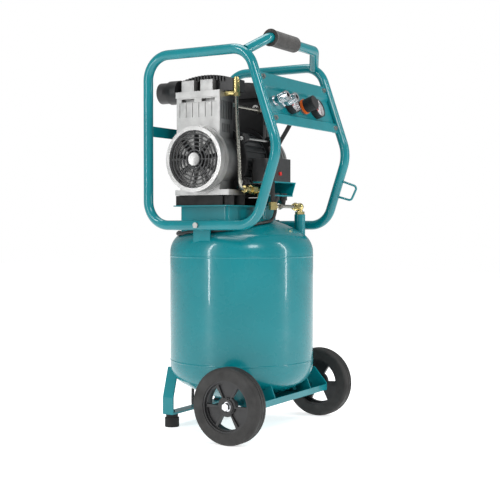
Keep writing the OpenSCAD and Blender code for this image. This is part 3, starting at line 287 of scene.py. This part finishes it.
def tank_material():
    """The frame's enamel on a larger surface: broader and fainter changes, and no printed marks."""
    m = Mat("tank_enamel", TEAL, 0.26, coat=0.3, coat_rough=0.05, spec=0.3)
    m.vary_color(m.noise(7, 5), shade(TEAL, 0.92), shade(TEAL, 1.07))
    m.vary_rough(m.noise(22, 4), 0.22, 0.33)
    m.bump(m.noise(180, 2, 0.5), 0.10, 0.0006)
    return m.mat


tyre_mat = tyre_material()
foam = foam_material()
lens_mat = glass_material()
tank_mat = tank_material()
head_mat = head_material("head_alloy_painted_shade", ALLOY, ALLOY_IN_SHADE, 0.45)


SHARP_ANGLE = 35
CAD_SHARP_ANGLE = 32


def dress(material, *names):
    """Gives CAD nodes a material."""
    for name in names:
        slots = NODES[name].data.materials
        slots.clear()
        slots.append(material)


def soften(width, *names):
    """Rounds the sharp edges of CAD nodes a little, so that they catch the light."""
    for name in names:
        bevel = NODES[name].modifiers.new("edge", "BEVEL")
        bevel.width = width
        bevel.segments = 2
        bevel.limit_method = "ANGLE"
        bevel.angle_limit = math.radians(SHARP_ANGLE)
        bevel.harden_normals = False
        bevel.use_clamp_overlap = True


def smooth(obj, angle):
    """Smooth shading, with a hard edge wherever two faces meet at more than angle degrees."""
    for face in obj.data.polygons:
        face.use_smooth = True
    obj.data.set_sharp_from_angle(angle=math.radians(angle))


def mesh_object(name, bm, material):
    mesh = bpy.data.meshes.new(name)
    bm.to_mesh(mesh)
    bm.free()
    mesh.materials.append(material)
    return link(bpy.data.objects.new(name, mesh))


def new_piece(name, bm, material, sharp=SHARP_ANGLE, body=ROOT):
    """A piece of the machine that only this script adds. It rides on the frame."""
    bmesh.ops.recalc_face_normals(bm, faces=bm.faces)
    o = mesh_object(name, bm, material)
    smooth(o, sharp)
    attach(o, body)


def frame_at(pos, axis, up=(0, 0, 1)):
    """Placement at pos whose Z runs along axis and whose X is square to both axis and up."""
    z = Vector(axis).normalized()
    x = Vector(up).cross(z)
    if x.length < 1e-6:
        x = Vector((1, 0, 0))
    x.normalize()
    y = z.cross(x)
    m = Matrix((x, y, z)).transposed().to_4x4()
    m.translation = Vector(pos)
    return m


def lathe(bm, profile, place, steps=48, closed=False):
    """Turns (radius, height) pairs about Z. A closed profile is a ring, and an open one is capped."""
    rings = []
    for r, h in profile:
        ring = []
        for k in range(steps):
            a = 2 * math.pi * k / steps
            ring.append(bm.verts.new(place @ Vector((r * math.cos(a), r * math.sin(a), h))))
        rings.append(ring)
    n = len(rings)
    for i in range(n if closed else n - 1):
        a, b = rings[i], rings[(i + 1) % n]
        for k in range(steps):
            bm.faces.new((a[k], a[(k + 1) % steps], b[(k + 1) % steps], b[k]))
    if not closed:
        bm.faces.new(rings[0][::-1])
        bm.faces.new(rings[-1])


def block(bm, lo, hi, place):
    """A box between two opposite corners."""
    v = [bm.verts.new(place @ Vector((x, y, z))) for x in (lo[0], hi[0]) for y in (lo[1], hi[1])
         for z in (lo[2], hi[2])]
    for face in ((0, 1, 3, 2), (4, 6, 7, 5), (0, 4, 5, 1), (2, 3, 7, 6), (0, 2, 6, 4), (1, 5, 7, 3)):
        bm.faces.new([v[i] for i in face])


def catmull(points, steps):
    """A smooth curve through all the points, with steps pieces between each two."""
    out = []
    n = len(points)
    for i in range(n - 1):
        a, b, c, d = points[max(i - 1, 0)], points[i], points[i + 1], points[min(i + 2, n - 1)]
        for k in range(steps):
            t = k / steps
            out.append(0.5 * (2 * b + (c - a) * t + (2 * a - 5 * b + 4 * c - d) * t * t
                              + (3 * b - a - 3 * c + d) * t ** 3))
    out.append(points[-1])
    return out


# ------------------------------------------------------------------ mains lead

# ROUTE and the coil are in the CAD source's millimetres, measured from the tank's axis.
LEAD_D = 0.0084
LEAD_SMOOTHING = 4               # pieces of curve between two points of the lead
shell_lo, shell_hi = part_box("tank_shell")
SHIFT_Y = (shell_lo.y + shell_hi.y) / 2
ROUTE = [(-8, -108, 588.4), (-8, -108, 581), (-10.9, -108, 566.5), (-19.1, -107.9, 554.1),
         (-31.5, -107.3, 545.9), (-46, -105.5, 543), (-68, -99.5, 540.1), (-91, -91, 536.5),
         (-113, -81, 531.5), (-130.5, -69.5, 526.9), (-144, -53, 523.8), (-155, -29, 521.3),
         (-161, -2, 519.3), (-160, 32, 518), (-152, 64, 516.9), (-143, 92, 513.4),
         (-130, 114.5, 510.8), (-110, 131, 512.6), (-84, 145, 515.2), (-52, 160, 514.7),
         (-20, 176.5, 506.5), (4, 188, 494.5), (24, 195, 477), (42, 200, 448), (54, 200, 400),
         (60, 199, 320), (64, 199, 200), (66, 200, 100), (66.3, 201, 70), (67, 202, 46),
         (70, 203.5, 29.1), (78.7, 205, 16.1), (91.7, 206.3, 7.4), (107, 206.5, 4.4),
         (124, 204.4, 4.4), (140, 198.8, 4.4), (156, 191.3, 4.4), (172, 184.1, 4.4),
         (188, 179.3, 4.4)]
COIL_CENTRE = (200, 130)
COIL_TURNS = 3
TURN_POINTS = 20
FIRST_TURN_R = 48.1
FLOOR_TURN_Z = 4.3
# Where the coil changes its radius or height: from and to are in turns, and the change is in mm.
STEP_INWARDS = (0.66, 0.965, 8.3)
STEP_ON_TOP = (1.75, 1.95, 4.2)
STEP_OUTWARDS = (2.3, 2.72, 8.4)
RISE_ON_TOP = (1.62, 1.9, 8.4)
PLUG_TAIL = [(208, 182.5, 13.1), (216, 182.5, 14), (224, 182.5, 15.2), (232, 182.5, 16.3),
             (240, 182.5, 17)]


def on_frame(p):
    """A point of the CAD source, on the frame."""
    return Vector((mm(p[0]), mm(p[1]) + SHIFT_Y, mm(p[2])))


def change(turn, start, end, amount):
    """The part of a gentle change of amount that is done at this turn."""
    t = min(1.0, max(0.0, (turn - start) / (end - start)))
    return amount * (t * t * (3 - 2 * t))


def coil_points():
    """Three turns, clockwise from above: two on the floor and one on top, then out to the plug."""
    path = []
    for k in range(COIL_TURNS * TURN_POINTS + 1):
        turn = k / TURN_POINTS
        r = (FIRST_TURN_R - change(turn, *STEP_INWARDS) + change(turn, *STEP_ON_TOP)
             + change(turn, *STEP_OUTWARDS))
        z = FLOOR_TURN_Z + change(turn, *RISE_ON_TOP)
        angle = math.pi / 2 - 2 * math.pi * turn
        path.append((COIL_CENTRE[0] + r * math.cos(angle), COIL_CENTRE[1] + r * math.sin(angle), z))
    return path + PLUG_TAIL


lead_pts = catmull([on_frame(p) for p in ROUTE + coil_points()], LEAD_SMOOTHING)
curve = bpy.data.curves.new("mains_lead", "CURVE")
curve.dimensions = "3D"
spline = curve.splines.new("POLY")
spline.points.add(len(lead_pts) - 1)
for pt, v in zip(spline.points, lead_pts):
    pt.co = (*v, 1)
curve.bevel_depth = LEAD_D / 2
curve.bevel_resolution = 4
curve.use_fill_caps = True
curve.materials.append(cord_mat)
lead = link(bpy.data.objects.new("mains_lead", curve))
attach(lead, ROOT)
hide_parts("mains_cord", "cord_coil")


# ------------------------------------------------------------------ finish of the CAD nodes

CASTING_EDGE = 0.0012
SMALL_EDGE = 0.0008

dress(tank_mat, "tank_shell", "tank_heads")
dress(teal, "left_frame_loop", "right_frame_loop", "handle_tube", "cable_hook", "rear_cross_bar")
dress(teal_sheet, "control_panel", "pump_platform", "wheel_bracket", "foot_strap", "switch_bracket")
dress(head_mat, "crankcases", "cylinder_heads")
dress(alu_dark, "air_manifold")
dress(alu_bright, "fan_shrouds", "left_piston_rod", "right_piston_rod")
dress(dark_paint, "motor_casing")
dress(grille_mat, "fan_grilles")
dress(black_moulded, "head_covers", "air_filters", "cooling_fans", "regulator_knob", "gauges")
dress(black_satin, "cord_gland", "switch_box", "mains_plug")
dress(rim_mat, "left_rim", "right_rim")
dress(tyre_mat, "left_tyre", "right_tyre")
dress(rubber, "rubber_feet", "pump_mounts", "panel_hose")
dress(chrome, "couplings", "left_coupling_sleeve", "right_coupling_sleeve", "safety_ring", "axle_bolts")
dress(zinc, "frame_bolts", "tie_rods", "shaft_bearings", "rotor", "cylinder_liners")
dress(brass, "brass_fittings", "drain_valve", "drain_knob", "safety_valve")
dress(steel_pipe, "air_pipes")
dress(copper, "stator")
dress(orange, "regulator_ring")
dress(red, "left_needle", "right_needle", "switch_knob", "reset_button")
dress(lens_mat, "gauge_lenses")
dress(foam, "handle_grip")

soften(CASTING_EDGE, "crankcases", "cylinder_heads", "head_covers", "air_filters", "fan_shrouds")
soften(SMALL_EDGE, "switch_box", "wheel_bracket", "foot_strap", "pump_platform", "left_rim", "right_rim",
       "rubber_feet", "regulator_ring", "gauges", "mains_plug")
for o in NODES.values():
    if o.type == "MESH":
        smooth(o, CAD_SHARP_ANGLE)


# ------------------------------------------------------------------ gauges

DIAL_SINK = 0.0006               # from the needle's joint back to the dial
DIAL_HOLE_R = 0.0019
DIAL_R = 0.0222
DIAL_LOW = 0.00005
DIAL_TOP = 0.00025
DIAL_WALL_R = 0.0216             # white wall round the dial
DIAL_WALL_OUT_R = 0.0223
DIAL_WALL_TOP = 0.0057
DIAL_STEPS = 72

SCALE_START = 225                # degrees, at the first tick
SCALE_SWEEP = 270
TICKS = 40
TICKS_PER_MARK = 10
TICKS_PER_HALF = 5
TICK_OUT_R = 0.0205
MARK_L, HALF_L, TICK_L = 0.0038, 0.0026, 0.0016
MARK_HALF_W, TICK_HALF_W = 0.0004, 0.0002
PRINT_LOW = 0.00024              # printed marks start just inside the dial's face
TICK_TOP = 0.00036

BAND_START = -45                 # degrees, at the scale's last tick
BAND_SWEEP = 78
BAND_STEPS = 24
BAND_R, BAND_OUT_R = 0.0166, 0.0178
BAND_TOP = 0.00033


def joint_place(name):
    """Placement at a joint, with Z along the joint's axis."""
    return frame_at(JOINTS[name]["pos_m"], JOINTS[name]["axis"])


def ring_profile(inner, outer, low, high):
    return [(inner, low), (outer, low), (outer, high), (inner, high)]


def add_dial(side, place):
    bm = bmesh.new()
    lathe(bm, ring_profile(DIAL_HOLE_R, DIAL_R, DIAL_LOW, DIAL_TOP), place, DIAL_STEPS, True)
    lathe(bm, ring_profile(DIAL_WALL_R, DIAL_WALL_OUT_R, DIAL_TOP, DIAL_WALL_TOP), place, DIAL_STEPS, True)
    new_piece(side + "_dial", bm, dial_white)


def add_dial_scale(side, place):
    bm = bmesh.new()
    for k in range(TICKS + 1):
        length, half_w = TICK_L, TICK_HALF_W
        if k % TICKS_PER_MARK == 0:
            length, half_w = MARK_L, MARK_HALF_W
        elif k % TICKS_PER_HALF == 0:
            length = HALF_L
        turn = place @ Matrix.Rotation(math.radians(SCALE_START - SCALE_SWEEP * k / TICKS), 4, "Z")
        block(bm, (TICK_OUT_R - length, -half_w, PRINT_LOW), (TICK_OUT_R, half_w, TICK_TOP), turn)
    new_piece(side + "_dial_scale", bm, dial_ink)


def add_dial_band(side, place):
    """The red end of the scale, as short blocks that bend round with it."""
    bm = bmesh.new()
    for k in range(BAND_STEPS):
        a0, a1 = (math.radians(BAND_START + BAND_SWEEP * q / BAND_STEPS) for q in (k, k + 1))
        v = []
        for z in (PRINT_LOW, BAND_TOP):
            for r, a in ((BAND_R, a0), (BAND_OUT_R, a0), (BAND_OUT_R, a1), (BAND_R, a1)):
                v.append(bm.verts.new(place @ Vector((r * math.cos(a), r * math.sin(a), z))))
        for face in ((0, 3, 2, 1), (4, 5, 6, 7), (0, 1, 5, 4), (1, 2, 6, 5), (2, 3, 7, 6), (3, 0, 4, 7)):
            bm.faces.new([v[q] for q in face])
    new_piece(side + "_dial_band", bm, dial_red)


for side, _ in SIDES:
    dial_at = joint_place(side + "_needle_turn") @ Matrix.Translation((0, 0, -DIAL_SINK))
    add_dial(side, dial_at)
    add_dial_scale(side, dial_at)
    add_dial_band(side, dial_at)


# ------------------------------------------------------------------ weld seams of the tank

SEAM_HALF_W = 0.0028
SEAM_PROUD = 0.0013              # height of the bead's crown over its edges
SEAM_EDGE_IN = 0.0006            # its edges start this far inside the shell
SEAM_ROOT_IN = 0.0012
SEAM_ARC_STEPS = 6
SEAM_STEPS = 160
SEAM_SHARP = 80

tank_r = (shell_hi.x - shell_lo.x) / 2
seam_edge_r = tank_r - SEAM_EDGE_IN
seam_root_r = tank_r - SEAM_ROOT_IN
seam_profile = []
for k in range(SEAM_ARC_STEPS + 1):
    a = math.radians(-90 + 180 / SEAM_ARC_STEPS * k)
    seam_profile.append((seam_edge_r + SEAM_PROUD * math.cos(a), SEAM_HALF_W * math.sin(a)))
seam_profile += [(seam_root_r, SEAM_HALF_W), (seam_root_r, -SEAM_HALF_W)]
for name, z in (("lower_seam", shell_lo.z), ("upper_seam", shell_hi.z)):
    bm = bmesh.new()
    lathe(bm, seam_profile, Matrix.Translation((0, SHIFT_Y, z)), SEAM_STEPS, True)
    new_piece(name, bm, tank_mat, sharp=SEAM_SHARP)


# ------------------------------------------------------------------ badges on the fan guards

BADGE_R = 0.0166
BADGE_FACE_R = 0.0150
BADGE_BACK, BADGE_RIM, BADGE_FACE = -0.0012, 0.0008, 0.0002
BADGE_SHARP = 50

grille_lo, grille_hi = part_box("fan_grilles")
_, axle_y, axle_z = JOINTS["motor_spin"]["pos_m"]
for side, sign in SIDES:
    out_x = grille_lo.x if sign < 0 else grille_hi.x
    badge_at = frame_at((out_x, axle_y, axle_z), (sign, 0, 0))
    bm = bmesh.new()
    lathe(bm, [(0.0, BADGE_FACE), (BADGE_FACE_R, BADGE_FACE), (BADGE_R, BADGE_RIM), (BADGE_R, BADGE_BACK),
               (0.0, BADGE_BACK)], badge_at)
    new_piece(side + "_fan_badge", bm, alu_bright, sharp=BADGE_SHARP)


# ------------------------------------------------------------------ breather plug on the far head

PLUG_Y = 0.004                   # from the tank's axis
PLUG_Z = 0.853
PLUG_IN = 0.067                  # from the far head's outer end to the wall that the plug is in
COLLAR_STEPS = 40
CORE_STEPS = 24

plug_at = frame_at((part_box("cylinder_heads")[1].x - PLUG_IN, PLUG_Y + SHIFT_Y, PLUG_Z), (-1, 0, 0))
bm = bmesh.new()
lathe(bm, [(0.0036, 0.0002), (0.0088, 0.0002), (0.0092, 0.0012), (0.0086, 0.0034), (0.0062, 0.0040),
           (0.0040, 0.0036)], plug_at, COLLAR_STEPS, True)
new_piece("breather_collar", bm, dial_white)
bm = bmesh.new()
lathe(bm, [(0.0, 0.0003), (0.0034, 0.0003), (0.0034, 0.0020), (0.0, 0.0020)], plug_at, CORE_STEPS)
new_piece("breather_core", bm, zinc)


# ------------------------------------------------------------------ light and floor

WHITE = (1, 1, 1, 1)
FLOOR_GLOW = 0.66                # keeps the floor as white as the photograph's, with the contact shadow left
FLOOR_HALF = 9.0
FLOOR_CELLS = 8
FLOOR_DROP = 0.0005              # keeps the floor clear of the faces that stand on it
WORLD_LIGHT = 0.42
WORLD_SEEN = 1.0                 # what the camera sees behind the machine is plain white

floor_look = Mat("floor", (0.86, 0.86, 0.86), 0.65, spec=0.2)
floor_look.bump(floor_look.noise(30, 3), 0.02, 0.0004)
floor_look.bsdf.inputs["Emission Color"].default_value = WHITE
floor_look.bsdf.inputs["Emission Strength"].default_value = FLOOR_GLOW
bm = bmesh.new()
bmesh.ops.create_grid(bm, x_segments=FLOOR_CELLS, y_segments=FLOOR_CELLS, size=FLOOR_HALF)
floor = mesh_object("floor", bm, floor_look.mat)
floor.location.z = -FLOOR_DROP


def area(name, pos, target, size, power, size_y=None):
    """An area light at pos that faces target: a square, or a strip if size_y is given."""
    light = bpy.data.lights.new(name, "AREA")
    light.energy = power
    light.size = size
    if size_y:
        light.shape = "RECTANGLE"
        light.size_y = size_y
    o = link(bpy.data.objects.new(name, light))
    o.location = pos
    o.rotation_euler = (Vector(target) - Vector(pos)).to_track_quat("-Z", "Y").to_euler()


area("key", (-2.0, -2.4, 2.6), (0, 0, 0.6), 0.9, 42)
area("left_strip", (-2.4, 0.9, 1.3), (0, 0, 0.6), 0.14, 30, 2.4)
area("right_strip", (0.6, -2.5, 1.3), (0, 0, 0.5), 0.14, 26, 2.4)
area("top", (0.0, 0.3, 3.2), (0, 0, 0.4), 1.6, 44)

world = bpy.data.worlds.new("world")
world.use_nodes = True
world_nodes = world.node_tree.nodes
world_links = world.node_tree.links
lit = world_nodes["Background"]
seen = world_nodes.new("ShaderNodeBackground")
for node, strength in ((lit, WORLD_LIGHT), (seen, WORLD_SEEN)):
    node.inputs["Color"].default_value = WHITE
    node.inputs["Strength"].default_value = strength
light_path = world_nodes.new("ShaderNodeLightPath")
choice = world_nodes.new("ShaderNodeMixShader")
world_links.new(light_path.outputs["Is Camera Ray"], choice.inputs["Fac"])
world_links.new(lit.outputs["Background"], choice.inputs[1])
world_links.new(seen.outputs["Background"], choice.inputs[2])
world_links.new(choice.outputs["Shader"], world_nodes["World Output"].inputs["Surface"])
bpy.context.scene.world = world
bpy.context.scene.view_settings.view_transform = "Standard"
